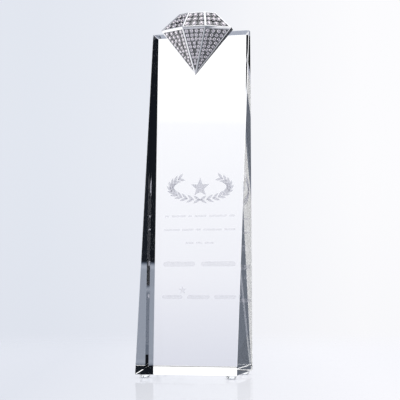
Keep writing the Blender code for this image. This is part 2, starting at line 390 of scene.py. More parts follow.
def tray_painted_shade_material(colours):
    """Grainy plating on the floors of the trays, its colour darkened as painted shade in the recesses.
    """
    material, tree, shader = new_material("grainy_plating_painted_shade", Metallic=1.0)
    metal = tuple(colours.metal)
    # painted shade: the tray floors' colour is only 0.1 to 0.42 of the metal's, spread at random, for
    # the shade in the recesses
    two_tone(tree, shader.inputs["Base Color"], 1800.0, scaled(metal, 0.1), scaled(metal, 0.42))
    uneven(tree, shader.inputs["Roughness"], 1500.0, 0.3, 0.55)
    relief(tree, shader, 2600.0, 0.6, 0.00005)
    return material


def side_painted_shade_material(colours):
    """Duller plating on the narrow downward sides of the pavilion, painted near black as shade."""
    material, tree, shader = new_material("painted_shade_plating", Metallic=1.0)
    metal = tuple(colours.metal)
    # painted shade: 0.05 to 0.16 of the metal's colour, for the shade on these downward sides
    two_tone(tree, shader.inputs["Base Color"], 150.0, scaled(metal, 0.05), scaled(metal, 0.16))
    uneven(tree, shader.inputs["Roughness"], 300.0, 0.2, 0.34)
    return material


def cut_glass_material(colours):
    """Mirror-coated glass for the faces of the stones that are seen."""
    material, tree, shader = new_material("cut_glass", Metallic=0.6, IOR=1.56, Clear=1.0)
    tint = tuple(colours.stone)
    two_tone(tree, shader.inputs["Base Color"], 500.0, scaled(tint, 0.94), tint)
    uneven(tree, shader.inputs["Roughness"], 900.0, 0.0, 0.02)
    return material


def foil_material():
    """The silvered back of each stone."""
    material, tree, shader = new_material("stone_foil", Metallic=1.0)
    two_tone(tree, shader.inputs["Base Color"], 800.0, (0.8, 0.7, 0.8), (0.94, 0.9, 0.95))
    uneven(tree, shader.inputs["Roughness"], 1200.0, 0.02, 0.08)
    return material


def clear_rubber_material():
    """Clear soft polyurethane, a little cloudy."""
    material, tree, shader = new_material("clear_polyurethane", IOR=1.48, Clear=1.0)
    two_tone(tree, shader.inputs["Base Color"], 300.0, (0.86, 0.88, 0.9), (0.93, 0.95, 0.96))
    uneven(tree, shader.inputs["Roughness"], 500.0, 0.03, 0.1)
    relief(tree, shader, 700.0, 0.1, 0.00003)
    return material


def adhesive_material():
    """Clear adhesive with faint trapped marks."""
    material, tree, shader = new_material("clear_adhesive", IOR=1.47, Clear=1.0)
    two_tone(tree, shader.inputs["Base Color"], 400.0, (0.78, 0.79, 0.8), (0.9, 0.9, 0.91))
    uneven(tree, shader.inputs["Roughness"], 600.0, 0.1, 0.3)
    return material


# ---------------------------------------------------------------- modelling helpers


def nothing_selected():
    """Leave edit mode and deselect every object."""
    if bpy.context.object and bpy.context.object.mode != "OBJECT":
        bpy.ops.object.mode_set(mode="OBJECT")
    bpy.ops.object.select_all(action="DESELECT")


def only(piece):
    """Make one object selected and active."""
    nothing_selected()
    piece.select_set(True)
    bpy.context.view_layer.objects.active = piece


def new_piece(name):
    """Name the object that an operator has just added, and its mesh."""
    piece = bpy.context.object
    piece.name = name
    piece.data.name = name
    return piece


def pick(piece, mode, wanted):
    """In edit mode, select only the elements of a mesh that a test accepts."""
    bpy.ops.mesh.select_mode(type=mode)
    bpy.ops.mesh.select_all(action="DESELECT")
    bpy.ops.object.mode_set(mode="OBJECT")
    elements = {"VERT": piece.data.vertices, "EDGE": piece.data.edges, "FACE": piece.data.polygons}
    for element in elements[mode]:
        element.select = wanted(element)
    bpy.ops.object.mode_set(mode="EDIT")


def settle(piece, matrix=None):
    """Put an object's place into its mesh, after an optional move, and leave it at the origin."""
    only(piece)
    if matrix is not None:
        piece.matrix_world = matrix @ piece.matrix_world
    bpy.ops.object.transform_apply(location=True, rotation=True, scale=True)


def copied(source, name, matrix):
    """A copy of a modelled piece with its own mesh, placed in its mesh."""
    mesh = source.data.copy()
    mesh.name = name
    mesh.transform(matrix)
    piece = bpy.data.objects.new(name, mesh)
    bpy.context.scene.collection.objects.link(piece)
    return piece


def joined(pieces, name):
    """Several objects made into one."""
    nothing_selected()
    for piece in pieces:
        piece.select_set(True)
    bpy.context.view_layer.objects.active = pieces[0]
    if len(pieces) > 1:
        bpy.ops.object.join()
    return new_piece(name)


def smooth_below(piece, degrees):
    """Shade a piece smooth except across edges sharper than an angle."""
    only(piece)
    bpy.ops.object.shade_smooth_by_angle(angle=math.radians(degrees))


def bevelled(piece, width, segments, degrees):
    """Round the edges of a piece that are sharper than an angle."""
    only(piece)
    bevel = piece.modifiers.new("rounded_edges", "BEVEL")
    bevel.width = width
    bevel.segments = segments
    bevel.limit_method = "ANGLE"
    bevel.angle_limit = math.radians(degrees)
    bpy.ops.object.modifier_apply(modifier=bevel.name)


def attach(piece, slot, *nodes):
    """Make a piece ride on the award and stand for CAD nodes; its slot is not used."""
    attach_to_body(piece, "root")
    if nodes:
        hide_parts(*nodes)


def paint_node(node, material):
    """Give a CAD node that stays a finished material."""
    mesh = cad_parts[node].data
    mesh.materials.clear()
    mesh.materials.append(material)


# ---------------------------------------------------------------- the emblem's frame


def front_face():
    """The block's sloping front face."""
    faces = [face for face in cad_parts["crystal_block"].data.polygons if face.normal.y < -0.9]
    return max(faces, key=lambda face: face.area)


def emblem_frame():
    """The matrix that takes (right, up the slope, outward) on the front face to world axes."""
    face = front_face()
    outward = face.normal.normalized()
    right = Vector((1, 0, 0))
    up_slope = outward.cross(right)
    top = BLOCK_HIGH.z
    depth = face.center.y - (top - face.center.z) * outward.z / outward.y
    corner = Vector(((CASTING_LOW.x + CASTING_HIGH.x) / 2, depth, top))
    turn = Matrix((right, up_slope, outward)).transposed()
    return Matrix.Translation(corner) @ turn.to_4x4()


def facet_corners(sizes):
    """The corners of each stone-set facet in the emblem's frame, from its girdle edge."""
    high = sizes.girdle_height
    half = (CASTING_HIGH.x - CASTING_LOW.x) / 2
    rise = (sizes.girdle_front_out - sizes.girdle_side_out) / (half - sizes.girdle_inner)
    table_out = sizes.table_front_out - rise * (sizes.table_half - sizes.table_inner)
    culet = Vector((0, -sizes.culet_drop, sizes.culet_out))
    corners = {}
    points = {}
    for side, sign in (("left", -1), ("right", 1)):
        outer = Vector((sign * half, high, sizes.girdle_side_out))
        inner = Vector((sign * sizes.girdle_inner, high, sizes.girdle_front_out))
        points[side] = (
            outer,
            inner,
            outer.lerp(culet, GIRDLE_BAND_SHARE),
            inner.lerp(culet, GIRDLE_BAND_SHARE),
            Vector((sign * sizes.table_half, sizes.table_height, table_out)),
            Vector((sign * sizes.table_inner, sizes.table_height, sizes.table_front_out)),
        )
    left_out, left_in, left_low, left_low_in, left_table, left_table_in = points["left"]
    right_out, right_in, right_low, right_low_in, right_table, right_table_in = points["right"]
    corners["crown_left"] = (left_out, left_in, left_table_in, left_table)
    corners["crown_centre"] = (left_in, right_in, right_table_in, left_table_in)
    corners["crown_right"] = (right_in, right_out, right_table, right_table_in)
    corners["pavilion_left"] = (left_low_in, left_low, culet)
    corners["pavilion_centre"] = (right_low_in, left_low_in, culet)
    corners["pavilion_right"] = (right_low, right_low_in, culet)
    return corners


def facet_normal(corners):
    """The outward normal of a facet."""
    return (corners[1] - corners[0]).cross(corners[2] - corners[0]).normalized()


def row_ends(corners, share, reach):
    """Where the outermost stones of a row sit, a reach in from both sides of the facet."""
    near_left, near_right, far_right, far_left = corners[0], corners[1], corners[2], corners[-1]
    left = near_left.lerp(far_left, share)
    right = near_right.lerp(far_right, share)
    along = (near_right - near_left).normalized()
    left_slant = (far_left - near_left).normalized().cross(along).length
    right_slant = (far_right - near_right).normalized().cross(along).length
    return left + along * reach / left_slant, right - along * reach / right_slant


def crown_rows(sizes, facet):
    """First and last place, count and diameter of each row of stones in a crown facet."""
    corners = facet_corners(sizes)[facet]
    diameter, share, pitch = sizes.crown_stone, CROWN_FIRST_ROW, CROWN_PITCH
    rows = []
    for count in (3, 3, 3) if facet.endswith("centre") else (3, 3, 2):
        reach = sizes.crown_rib + sizes.wall_gap + diameter / 2
        rows.append((*row_ends(corners, share, reach), count, diameter))
        share += pitch
        pitch *= CROWN_SHRINK
        diameter *= CROWN_SHRINK
    return rows


def pavilion_rows(sizes, facet):
    """The same for a pavilion facet, with as many rows of stones as fill it."""
    corners = facet_corners(sizes)[facet]
    near_left, near_right, culet = corners
    along = (near_right - near_left).normalized()
    height = (culet - near_left).cross(along).length
    edge = sizes.pavilion_rib + sizes.wall_gap
    diameter = sizes.pavilion_stone
    depth = edge + diameter / 2
    rows = []
    while diameter > PAVILION_SMALLEST:
        start, end = row_ends(corners, depth / height, edge + diameter / 2)
        room = (end - start).dot(along)
        if room < 0:
            diameter *= 0.9
            continue
        rows.append((start, end, int(room / (diameter * PAVILION_SPACING)) + 1, diameter))
        depth += diameter * PAVILION_SPACING
        diameter = sizes.pavilion_stone * (1 - PAVILION_TAPER * depth / height)
    return rows


def facet_stones(sizes, facet):
    """Foot, diameter and name of each stone in a facet, on its tray's floor, and its normal."""
    rows = crown_rows if facet.startswith("crown") else pavilion_rows
    normal = facet_normal(facet_corners(sizes)[facet])
    stones = []
    for row, (start, end, count, diameter) in enumerate(rows(sizes, facet), 1):
        for index in range(count):
            part = index / (count - 1) if count > 1 else 0.5
            foot = start.lerp(end, part) - normal * (sizes.tray_depth - 0.1 * MM)
            stones.append((foot, diameter, f"{facet}_{row}_{index + 1}"))
    return stones, normal


def standing(foot, normal, size, spin=0.0):
    """The matrix that stands a unit shape on a facet, in world axes."""
    turn = normal.to_track_quat("Z", "Y").to_matrix().to_4x4()
    local = Matrix.Translation(foot) @ turn @ Matrix.Rotation(spin, 4, "Z") @ Matrix.Scale(size, 4)
    return emblem_frame() @ local


# ---------------------------------------------------------------- operators


class AWARD_OT_block(bpy.types.Operator):
    """Give the solid crystal block its clear polished finish"""

    bl_idname = "award.block"
    bl_label = "Crystal Block"

    def execute(self, context):
        paint_node("crystal_block", crystal_material(context.scene.award_colours))
        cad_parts["crystal_block"].visible_diffuse = False
        return {"FINISHED"}


class AWARD_OT_feet(bpy.types.Operator):
    """Turn the four clear domed feet, and finish the film that holds each one"""

    bl_idname = "award.feet"
    bl_label = "Feet"

    def execute(self, context):
        rubber = clear_rubber_material()
        film = adhesive_material()
        for name in FOOT_NAMES:
            low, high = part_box("foot_" + name)
            foot = self.domed(low, high)
            foot.name = foot.data.name = "clear_foot_" + name
            foot.data.materials.append(rubber)
            attach(foot, "foot_polyurethane", "foot_" + name)
            paint_node("foot_film_" + name, film)
        return {"FINISHED"}

    def domed(self, low, high):
        """A short cylinder whose lower rim is rounded up to a dome, hollow-cornered at the top."""
        nothing_selected()
        radius = (high.x - low.x) / 2
        height = high.z - low.z
        centre = (low + high) / 2
        bpy.ops.mesh.primitive_cylinder_add(
            vertices=64, radius=radius, depth=height, location=centre
        )
        foot = bpy.context.object
        bpy.ops.object.transform_apply(location=True, rotation=True, scale=True)
        bpy.ops.object.mode_set(mode="EDIT")
        vertices = foot.data.vertices
        bottom, top = low.z + 0.1 * MM, high.z - 0.01 * MM
        pick(foot, "EDGE", lambda edge: all(vertices[i].co.z < bottom for i in edge.vertices))
        bpy.ops.mesh.bevel(offset=2.1 * MM, offset_type="OFFSET", segments=10, profile=0.5)
        vertices = foot.data.vertices
        pick(foot, "EDGE", lambda edge: all(vertices[i].co.z > top for i in edge.vertices))
        bpy.ops.mesh.bevel(offset=0.12 * MM, offset_type="OFFSET", segments=2)
        bpy.ops.object.mode_set(mode="OBJECT")
        smooth_below(foot, 40)
        return foot


class AWARD_OT_casting(bpy.types.Operator):
    """Finish the gem casting: rounded ribs, grainy trays darkened as painted shade, the pavilion's
    downward sides darkened as painted shade, and a bezel and beads at each stone
    """

    bl_idname = "award.casting"
    bl_label = "Gem Casting"

    def execute(self, context):
        colours = context.scene.award_colours
        sizes = context.scene.award_emblem
        plating = polished_metal_material(colours)
        # painted shade: the tray plating is darkened for the shade in the recesses
        trays_painted_shade = tray_painted_shade_material(colours)
        # painted shade: the pavilion's downward sides get the near-black plating
        body = self.body(sizes, plating, trays_painted_shade, side_painted_shade_material(colours))
        attach(body, "silver_plate", "jewel_casting")
        bezels = self.bezels(sizes)
        bezels.data.materials.append(plating)
        smooth_below(bezels, 60)
        attach(bezels, "silver_plate")
        paint_node("jewel_adhesive", adhesive_material())
        return {"FINISHED"}

    def body(self, sizes, *platings_and_painted_shade):
        """The casting's own shape, with its flat faces made whole and its edges rounded."""
        nothing_selected()
        body = copied(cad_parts["jewel_casting"], "gem_casting", Matrix.Identity(4))
        only(body)
        bpy.ops.object.mode_set(mode="EDIT")
        bpy.ops.mesh.select_all(action="SELECT")
        bpy.ops.mesh.remove_doubles(threshold=0.001 * MM)
        bpy.ops.mesh.dissolve_limited(angle_limit=math.radians(1))
        bpy.ops.object.mode_set(mode="OBJECT")
        body.data.materials.clear()
        # painted shade: the tray and side platings in this list are darkened as painted shade
        for finish in platings_and_painted_shade:
            body.data.materials.append(finish)
        turn = emblem_frame().to_3x3()
        floors = []
        for corners in facet_corners(sizes).values():
            normal = facet_normal(corners)
            floor_point = emblem_frame() @ (corners[0] - normal * sizes.tray_depth)
            floors.append((turn @ normal, floor_point))
        for face in body.data.polygons:
            for normal, point in floors:
                level = abs((face.center - point).dot(normal))
                if face.normal.dot(normal) > 0.99 and level < 0.1 * MM:
                    # painted shade: the tray floors take the darkened plating
                    face.material_index = 1
            outward = face.normal.dot(turn.col[2])
            if abs(outward) < 0.1 and face.normal.z < -0.3 and face.area > 20 * MM * MM:
                # painted shade: the large downward sides of the pavilion take the near-black plating
                face.material_index = 2
        bevelled(body, 0.14 * MM, 2, 14)
        smooth_below(body, 30)
        return body

    def bezels(self, sizes):
        """A low round bezel with four beads at each stone."""
        nothing_selected()
        bpy.ops.mesh.primitive_torus_add(
            major_segments=20, minor_segments=6, major_radius=0.52, minor_radius=0.05
        )
        ring = bpy.context.object
        ring.location.z = 0.17
        ring.scale.z = 2.2
        bpy.ops.object.transform_apply(location=True, rotation=True, scale=True)
        beads = []
        for index in range(4):
            angle = math.tau * (index + 0.5) / 4
            bpy.ops.mesh.primitive_uv_sphere_add(segments=8, ring_count=5, radius=0.085)
            bead = bpy.context.object
            bead.scale.z = 1.3
            bead.location = (0.56 * math.cos(angle), 0.56 * math.sin(angle), 0.3)
            bpy.ops.object.transform_apply(location=True, rotation=True, scale=True)
            beads.append(bead)
        pattern = joined([ring, *beads], "bezel_pattern")
        placed = []
        for facet in FACETS:
            stones, normal = facet_stones(sizes, facet)
            for foot, diameter, name in stones:
                place = standing(foot - normal * 0.1 * MM, normal, diameter)
                placed.append(copied(pattern, "bezel_" + name, place))
        bpy.data.objects.remove(pattern)
        return joined(placed, "stone_bezels")


class AWARD_OT_stones(bpy.types.Operator):
    """Cut one foil-backed stone and set a copy of it in every bezel"""

    bl_idname = "award.stones"
    bl_label = "Stones"

    def execute(self, context):
        sizes = context.scene.award_emblem
        pattern = self.cut_stone()
        pattern.data.materials.append(cut_glass_material(context.scene.award_colours))
        pattern.data.materials.append(foil_material())
        for face in pattern.data.polygons:
            face.material_index = 1 if face.normal.z < -0.2 else 0
        for facet in FACETS:
            stones, normal = facet_stones(sizes, facet)
            placed = []
            for number, (foot, diameter, name) in enumerate(stones):
                spin = math.radians(37 * number)
                place = standing(foot, normal, diameter, spin)
                placed.append(copied(pattern, "cut_stone_" + name, place))
            if facet.startswith("crown"):
                for stone in placed:
                    attach(stone, "cut_glass", stone.name.removeprefix("cut_"))
            else:
                group = joined(placed, "cut_stones_" + facet)
                attach(group, "cut_glass", "stones_" + facet)
        bpy.data.objects.remove(pattern)
        return {"FINISHED"}

    def cut_stone(self):
        """A stone one unit across: table, sixteen crown facets, girdle and a shallow pavilion."""
        nothing_selected()
        bpy.ops.mesh.primitive_cone_add(vertices=8, radius1=0.5, radius2=0.28, depth=0.14)
        stone = new_piece("stone_pattern")
        stone.location.z = 0.33
        bpy.ops.object.transform_apply(location=True, rotation=True, scale=True)
        bpy.ops.object.mode_set(mode="EDIT")
        vertices = stone.data.vertices

        def sloping(edge):
            ends = [vertices[index].co.z for index in edge.vertices]
            return abs(ends[0] - ends[1]) > 0.1

        pick(stone, "EDGE", sloping)
        bpy.ops.mesh.bevel(offset=0.055, offset_type="OFFSET", segments=1)
        pick(stone, "FACE", lambda face: face.normal.z < -0.9)
        down = {"value": (0, 0, -0.05)}
        bpy.ops.mesh.extrude_region_move(TRANSFORM_OT_translate=down)
        down = {"value": (0, 0, -0.19)}
        bpy.ops.mesh.extrude_region_move(TRANSFORM_OT_translate=down)
        bpy.ops.transform.resize(value=(0.12, 0.12, 1.0))
        bpy.ops.object.mode_set(mode="OBJECT")
        return stone


class AWARD_OT_engraving(bpy.types.Operator):
    """Etch a wreath, a star and rows of plain bars into the back face"""

    bl_idname = "award.engraving"
    bl_label = "Engraving"

    DEPTH = 0.1 * MM
    COVER = 0.15 * MM

    def execute(self, context):
        frost = tuple(context.scene.award_colours.frost)
        strong = frosted_material("deep_frosting", frost, 0.42)
        light = frosted_material("light_frosting", frost, 0.145)
        wreath = self.wreath(Vector((0.0, 139.5 * MM)), 23.0 * MM, 9.6 * MM)
        large_star = self.star("large_star", Vector((0.0, 139.5 * MM)), 7.6 * MM)
        small_star = self.star("small_star", Vector((-12.8 * MM, 60.6 * MM)), 3.4 * MM)
        for piece in (wreath, large_star):
            piece.data.materials.append(strong)
            attach(piece, "engraving")
        rows = self.rows()
        for piece in (rows, small_star):
            piece.data.materials.append(light)
            attach(piece, "engraving")
        return {"FINISHED"}

    def etched(self, piece):
        """Lay a flat outline in the back face and give it its depth."""
        only(piece)
        bpy.ops.object.mode_set(mode="EDIT")
        bpy.ops.mesh.select_all(action="SELECT")
        deep = {"value": (0, 0, -self.DEPTH)}
        bpy.ops.mesh.extrude_region_move(TRANSFORM_OT_translate=deep)
        bpy.ops.mesh.select_all(action="SELECT")
        bpy.ops.mesh.normals_make_consistent(inside=False)
        bpy.ops.object.mode_set(mode="OBJECT")
        upright = Matrix.Rotation(math.radians(90), 4, "X")
        back = Matrix.Translation((0, BLOCK_HIGH.y - self.COVER - self.DEPTH, 0))
        settle(piece, back @ upright)
        return piece

    def star(self, name, centre, radius):
        """A five-pointed star, as an outline in X and Y before it is laid in the face."""
        nothing_selected()
        bpy.ops.mesh.primitive_circle_add(vertices=10, radius=radius, fill_type="NGON")
        star = new_piece(name)
        bpy.ops.object.mode_set(mode="EDIT")
        pick(star, "VERT", lambda vertex: vertex.index % 2 == 1)
        bpy.ops.transform.resize(value=(0.42, 0.42, 1.0))
        bpy.ops.object.mode_set(mode="OBJECT")
        settle(star, Matrix.Translation((centre.x, centre.y, 0)))
        return self.etched(star)

    def wreath(self, centre, half_width, half_height):
        """Two sprays of leaves round an ellipse that is open at its top."""
        nothing_selected()
        bpy.ops.mesh.primitive_circle_add(vertices=12, radius=1.0, fill_type="NGON")
        leaf = new_piece("leaf_pattern")
        leaf.scale = (2.7 * MM, 0.95 * MM, 1.0)
        settle(leaf)
        bpy.ops.object.mode_set(mode="EDIT")
        pick(leaf, "VERT", lambda vertex: abs(vertex.co.y) < 0.1 * MM)
        bpy.ops.transform.resize(value=(1.25, 1.0, 1.0))
        bpy.ops.object.mode_set(mode="OBJECT")
        leaves = []
        for side in (-1, 1):
            for step in range(11):
                along = math.radians(-84 + 13.2 * step)
                point = Vector((side * half_width * math.cos(along), half_height * math.sin(along), 0))
                ahead = Vector((-side * half_width * math.sin(along), half_height * math.cos(along), 0))
                heading = math.atan2(ahead.y, ahead.x)
                for lean, offset in ((32, 1.0), (-32, -1.0)):
                    turn = heading + math.radians(lean)
                    off = Vector((-math.sin(heading), math.cos(heading), 0)) * offset * 1.15 * MM
                    place = Matrix.Translation(Vector((centre.x, centre.y, 0)) + point + off)
                    place = place @ Matrix.Rotation(turn, 4, "Z")
                    leaves.append(copied(leaf, "leaf", place))
        bpy.data.objects.remove(leaf)
        return self.etched(joined(leaves, "wreath"))

    def rows(self):
        """Rows of round-ended bars, centred on the face."""
        bars = []
        for height, thick, lengths in (
            (117.3, 1.5, (3.2, 11.5, 3.0, 9.5, 14.0, 4.5)),
            (106.8, 1.5, (12.5, 9.0, 4.0, 14.5, 9.0)),
            (96.6, 1.5, (6.5, 5.0, 7.0)),
            (80.5, 3.8, (25.0, 27.0)),
            (55.3, 3.0, (16.0, 17.5, 17.0)),
        ):
            space = thick * 1.2
            total = sum(lengths) + space * (len(lengths) - 1)
            left = -total / 2
            for length in lengths:
                bars.append(self.bar(left, height, length, thick))
                left += length + space
        return self.etched(joined(bars, "etched_rows"))

    def bar(self, left, height, length, thick):
        """One bar with round ends; its sizes are in millimetres."""
        nothing_selected()
        centre = ((left + length / 2) * MM, height * MM, 0)
        bpy.ops.mesh.primitive_plane_add(size=1.0, location=centre)
        bar = new_piece("bar")
        bar.scale = (length * MM, thick * MM, 1.0)
        bpy.ops.object.transform_apply(location=True, rotation=True, scale=True)
        bpy.ops.object.mode_set(mode="EDIT")
        bpy.ops.mesh.select_all(action="SELECT")
        bpy.ops.mesh.bevel(offset=thick * 0.49 * MM, segments=5, affect="VERTICES")
        bpy.ops.object.mode_set(mode="OBJECT")
        return bar


class AWARD_OT_studio(bpy.types.Operator):
    """Set the pale floor, the lit and dark cards round the award, and the camera"""

    bl_idname = "award.studio"
    bl_label = "Studio"

    # Each card: its azimuth from +Y towards +X, half width, lowest and highest elevation, all in
    # degrees, and its brightness. Later cards lie over earlier ones.
    CARDS_BEHIND = (
        (0.0, 180.0, 48.0, 90.0, 1.7),
        (0.0, 180.0, -90.0, -45.0, 0.55),
        (-16.0, 27.0, -40.0, -12.5, 1.3),
        (-55.0, 8.0, -19.0, -8.0, 0.36),
        (-130.0, 16.0, -25.0, 12.0, 0.6),
        (-165.0, 16.0, -22.0, 12.0, 0.36),
        (160.0, 8.0, -30.0, 40.0, 0.12),
        (15.0, 4.0, -5.6, 60.0, 0.01),
        (15.0, 4.0, -9.8, -5.6, 0.4),
        (15.0, 4.0, -45.0, -9.8, 0.15),
        (90.0, 22.0, -6.6, 50.0, 0.01),
        (90.0, 22.0, -9.8, -6.6, 0.2),
        (90.0, 22.0, -30.0, -9.8, 0.03),
        (27.0, 7.0, -34.0, -4.0, 0.02),
        (-77.0, 4.0, -8.0, 12.0, 0.01),
        (-102.0, 4.0, 2.0, 12.0, 0.01),
    )
    # Brightness of the wide backdrop behind the award against elevation in degrees.
    BACKDROP = (
        (-12.0, 0.8),
        (-6.0, 1.0),
        (0.5, 1.08),
        (1.5, 1.25),
    )
    CARDS_REFLECTED = (
        (0.0, 180.0, 30.0, 64.0, 0.75),
        (0.0, 180.0, 64.0, 90.0, 1.5),
        (-79.0, 34.0, 40.0, 64.0, 0.5),
        (-104.0, 22.0, 8.0, 40.0, 1.3),
        (-129.0, 17.0, -25.0, 8.0, 1.4),
        (-163.0, 17.0, -25.0, 8.0, 0.68),
        (-163.0, 17.0, 8.0, 40.0, 0.06),
        (160.0, 20.0, -30.0, 30.0, 0.32),
        (24.0, 22.0, -60.0, 14.0, 0.02),
        (60.0, 24.0, -40.0, 64.0, 0.2),
    )

    def execute(self, context):
        self.world(context.scene)
        self.floor(context.scene.award_colours)
        self.camera(context.scene)
        context.scene.view_settings.view_transform = "Standard"
        return {"FINISHED"}

    def camera(self, scene):
        """A long lens a metre away, a little right of the front and tilted slightly up."""
        data = bpy.data.cameras.new("camera")
        data.lens = CAMERA_LENS
        data.sensor_width = 36.0
        data.clip_start = 0.01
        camera = bpy.data.objects.new("camera", data)
        scene.collection.objects.link(camera)
        heading = Matrix.Rotation(CAMERA_HEADING, 4, "Z")
        tilt = Matrix.Rotation(math.pi / 2 + CAMERA_TILT, 4, "X")
        roll = Matrix.Rotation(CAMERA_ROLL, 4, "Z")
        place = Matrix.Translation(CAMERA_PLACE)
        camera.matrix_world = place @ heading @ tilt @ roll
        scene.camera = camera

    def floor(self, colours):
        """A round pale floor whose rim fades into the backdrop."""
        nothing_selected()
        bpy.ops.mesh.primitive_circle_add(vertices=96, radius=0.9, fill_type="NGON")
        floor = new_piece("studio_floor")
        bpy.ops.object.mode_set(mode="EDIT")
        bpy.ops.mesh.select_all(action="SELECT")
        bpy.ops.mesh.inset(thickness=0.3)
        bpy.ops.object.mode_set(mode="OBJECT")
        floor.location.z = -0.05 * MM
        settle(floor)
        floor.data.materials.append(self.floor_material(colours))
        floor.visible_transmission = False
        floor.visible_glossy = False

    def floor_material(self, colours):
        """Pale and matt, darker and cooler on the left and paler on the right as painted light falloff,
        with a faint mirror at a low angle, clear towards the rim.
        """
        material, tree, shader = new_material("studio_floor", Roughness=0.9, Specular=0.0)
        link = tree.links.new
        place = add_node(tree, "TexCoord")
        ramp = add_node(tree, "ValToRGB")
        # painted light falloff: the floor colour runs from darker on the left to paler on the right
        ramp.color_ramp.elements[0].color = (*colours.floor_painted_shade_left, 1.0)
        ramp.color_ramp.elements[1].color = (*colours.floor_painted_light_right, 1.0)
        link(self.left_to_right(tree, place.outputs["Object"]), ramp.inputs["Fac"])
        link(ramp.outputs["Color"], shader.inputs["Base Color"])
        gloss = {"Color": (0.93, 0.95, 1.0, 1.0), "Roughness": 0.03}
        mirror = add_node(tree, "BsdfGlossy", gloss)
        sheen = add_node(tree, "Fresnel", {"IOR": 1.015})
        surface = add_node(tree, "MixShader")
        link(sheen.outputs["Fac"], surface.inputs["Fac"])
        link(shader.outputs["BSDF"], surface.inputs[1])
        link(mirror.outputs["BSDF"], surface.inputs[2])
        reach = add_node(tree, "VectorMath", operation="LENGTH")
        clear = add_node(tree, "BsdfTransparent")
        edge = add_node(tree, "MixShader")
        link(place.outputs["Object"], reach.inputs[0])
        link(self.ramp(tree, reach.outputs["Value"], 0.2, 0.75), edge.inputs["Fac"])
        link(surface.outputs["Shader"], edge.inputs[1])
        link(clear.outputs["BSDF"], edge.inputs[2])
        link(edge.outputs["Shader"], tree.nodes["Material Output"].inputs["Surface"])
        return material

    def world(self, scene):
        """A plain pale surround to look at, and cards that the award bends or mirrors."""
        world = bpy.data.worlds.new("studio")
        world.use_nodes = True
        world.cycles.sampling_method = "NONE"
        scene.world = world
        tree = world.node_tree
        tree.nodes.clear()
        link = tree.links.new
        direction = add_node(tree, "TexCoord").outputs["Generated"]
        flat = add_node(tree, "VectorMath", {1: (1.0, 1.0, 0.0)}, operation="MULTIPLY")
        level = add_node(tree, "VectorMath", operation="NORMALIZE")
        parts = add_node(tree, "SeparateXYZ")
        link(direction, flat.inputs[0])
        link(flat.outputs["Vector"], level.inputs[0])
        link(direction, parts.inputs["Vector"])
        heading, height = level.outputs["Vector"], parts.outputs["Z"]
        limits = {"From Min": -0.9, "From Max": 0.9, "To Min": 0.7, "To Max": 1.3}
        base = add_node(tree, "MapRange", limits)
        link(height, base.inputs["Value"])
        plain = base.outputs["Result"]
        behind = self.cards(tree, heading, height, plain, self.CARDS_BEHIND)
        behind = self.backdrop(tree, heading, height, behind)
        reflected = self.cards(tree, heading, height, plain, self.CARDS_REFLECTED)
        rays = add_node(tree, "LightPath")
        value = self.mix(tree, rays.outputs["Is Glossy Ray"], plain, reflected)
        value = self.mix(tree, rays.outputs["Is Transmission Ray"], value, behind)
        seen = add_node(tree, "Mix", data_type="RGBA")
        link(rays.outputs["Is Camera Ray"], seen.inputs["Factor"])
        link(self.cooled(tree, rays, value), seen.inputs["A"])
        link(self.surround(tree, direction), seen.inputs["B"])
        glow = add_node(tree, "Background")
        end = add_node(tree, "OutputWorld")
        link(seen.outputs["Result"], glow.inputs["Color"])
        link(glow.outputs["Background"], end.inputs["Surface"])

    def cooled(self, tree, rays, value):
        """A brightness made a colour that is cooler where it is darker, less so in a mirror."""
        link = tree.links.new
        cool = add_node(tree, "ValToRGB")
        stops = cool.color_ramp.elements
        stops[0].color = (0.55, 0.7, 1.0, 1.0)
        stops[1].color = (1.0, 1.0, 1.0, 1.0)
        for brightness, colour in (
            (0.35, (0.76, 0.84, 1.0, 1.0)),
            (0.8, (0.865, 0.885, 1.0, 1.0)),
            (0.99, (0.94, 0.945, 1.0, 1.0)),
        ):
            stops.new(brightness / TINT_RANGE).color = colour
        stops[-1].position = 1.15 / TINT_RANGE
        reduced = add_node(tree, "Math", {1: TINT_RANGE}, operation="DIVIDE")
        link(value, reduced.inputs[0])
        link(reduced.outputs["Value"], cool.inputs["Fac"])
        tint = add_node(tree, "Mix", {"Factor": 1.0}, data_type="RGBA", blend_type="MULTIPLY")
        link(value, tint.inputs["A"])
        link(cool.outputs["Color"], tint.inputs["B"])
        mirrored = add_node(tree, "Math", operation="GREATER_THAN")
        link(rays.outputs["Is Glossy Ray"], mirrored.inputs[0])
        link(rays.outputs["Is Transmission Ray"], mirrored.inputs[1])
        neutral = add_node(tree, "Math", {1: MIRROR_NEUTRAL}, operation="MULTIPLY")
        link(mirrored.outputs["Value"], neutral.inputs[0])
        result = add_node(tree, "Mix", data_type="RGBA")
        link(neutral.outputs["Value"], result.inputs["Factor"])
        link(tint.outputs["Result"], result.inputs["A"])
        link(value, result.inputs["B"])
        return result.outputs["Result"]

    def left_to_right(self, tree, vector):
        """0 at the left of the view and 1 at its right, for a place or a direction."""
        right = (math.cos(CAMERA_HEADING), math.sin(CAMERA_HEADING), 0.0)
        across = add_node(tree, "VectorMath", {1: right}, operation="DOT_PRODUCT")
        limits = {"From Min": -VIEW_HALF_WIDTH, "From Max": VIEW_HALF_WIDTH}
        spread = add_node(tree, "MapRange", limits)
        tree.links.new(vector, across.inputs[0])
        tree.links.new(across.outputs["Value"], spread.inputs["Value"])
        return spread.outputs["Result"]

